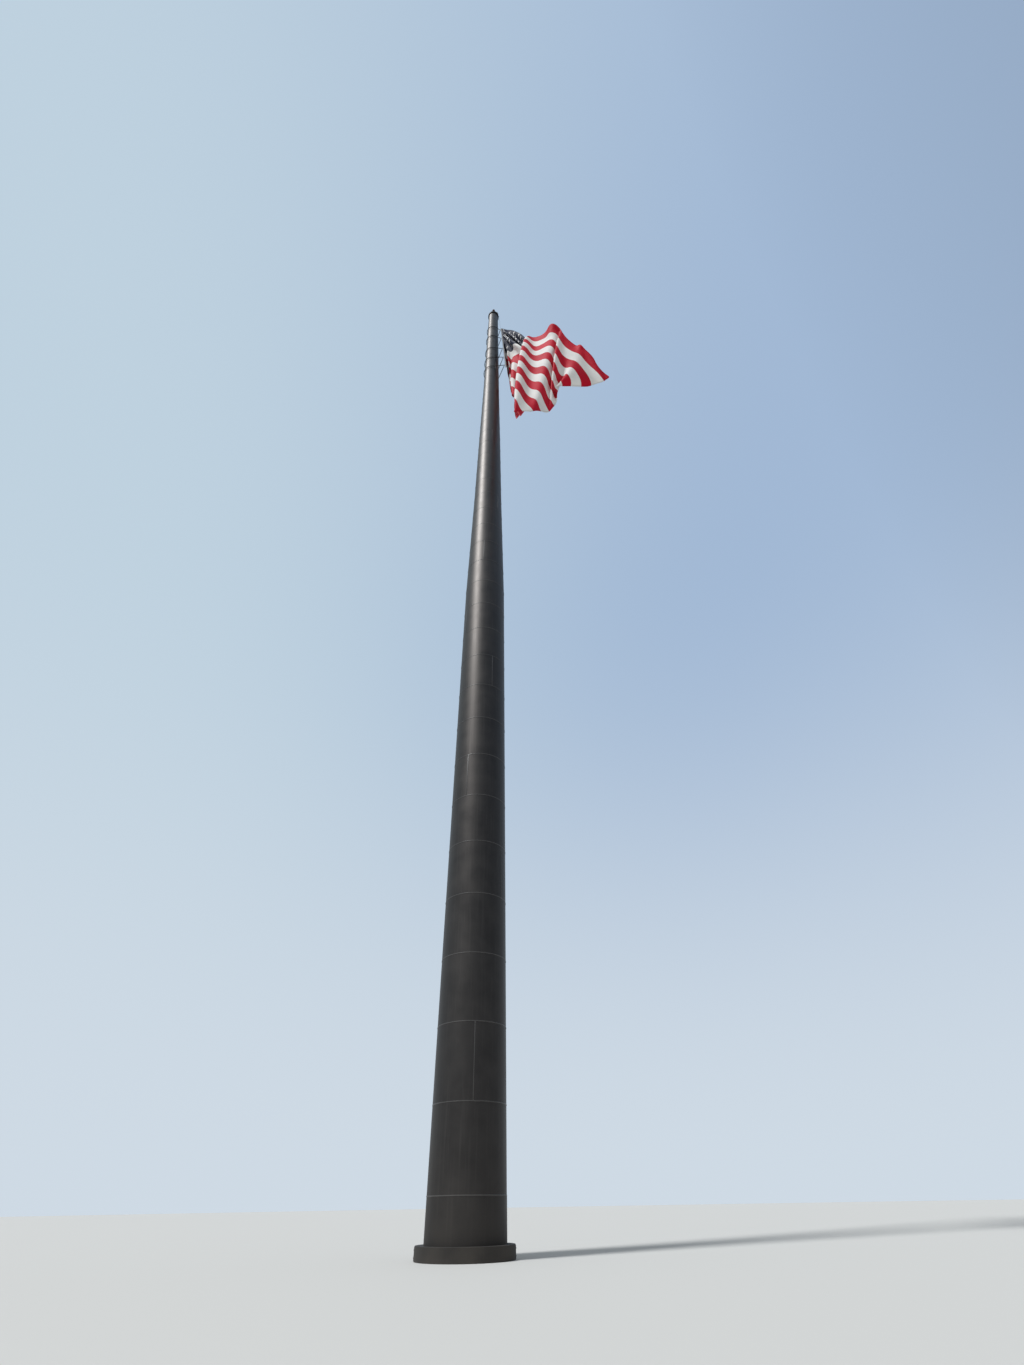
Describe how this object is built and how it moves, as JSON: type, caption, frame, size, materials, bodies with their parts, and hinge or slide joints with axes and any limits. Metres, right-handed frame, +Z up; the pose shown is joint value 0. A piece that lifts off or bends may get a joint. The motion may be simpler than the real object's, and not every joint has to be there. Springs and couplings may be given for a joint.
{
  "type": "flagpole scale model",
  "caption": "One-tenth scale model of a giant tapered steel flagpole with base shroud, welded shaft, revolving truck, beaded slings and a drooping striped flag.",
  "frame": {"origin": "centre of the base flange's underside, on the level foundation", "axes": "+Z up along the pole; the halyard leaves the truck towards +X; the service hatch is at +Y"},
  "size_m": [1.6566, 1.0469, 12.644],
  "materials": {
    "dark_bronze_paint": "dark bronze gloss paint",
    "black_paint": "satin black paint",
    "grey_paint": "satin grey paint",
    "dark_hardware": "dark coated steel",
    "bearing_steel": "greased machined steel",
    "wire_rope": "weathered galvanised wire rope",
    "copper_rod": "dull copper alloy",
    "beacon_glass": "red moulded lens",
    "sling_beads": "black moulded beads",
    "heading_canvas": "heavy white canvas",
    "flag_cloth": "woven polyester in red, white and navy"
  },
  "bodies": {
    "pole": {"base_flange": "dark_bronze_paint", "base_shroud": "dark_bronze_paint", "shaft_1": "dark_bronze_paint", "shaft_2": "dark_bronze_paint", "shaft_3": "dark_bronze_paint", "shaft_4": "dark_bronze_paint", "shaft_5": "dark_bronze_paint", "shaft_6": "dark_bronze_paint", "shaft_7": "dark_bronze_paint", "hatch_frame": "dark_bronze_paint", "hatch_cover": "dark_bronze_paint", "hatch_hinges": "dark_hardware", "hatch_handle": "dark_hardware", "head_plate": "dark_bronze_paint", "bearing_race": "bearing_steel", "spindle": "grey_paint", "beacon_base": "grey_paint", "beacon_lens": "beacon_glass", "beacon_cap": "grey_paint", "lightning_rod": "copper_rod"},
    "truck": {"truck_rim": "black_paint", "slewing_ring": "bearing_steel", "truck_housing": "grey_paint", "sheave": "bearing_steel", "sheave_pin": "bearing_steel", "sheave_cheeks": "black_paint", "halyard": "wire_rope", "snap_hooks": "dark_hardware", "flag_heading": "heading_canvas", "sling_1": "sling_beads", "sling_2": "sling_beads", "sling_3": "sling_beads", "sling_4": "sling_beads", "sling_5": "sling_beads", "flag": "flag_cloth"}
  },
  "joints": [
    {"name": "truck_swivel", "type": "hinge", "parent": "pole", "child": "truck", "pos_m": [0, 0, 12.148], "axis": [0, 0, 1], "continuous": true}
  ]
}
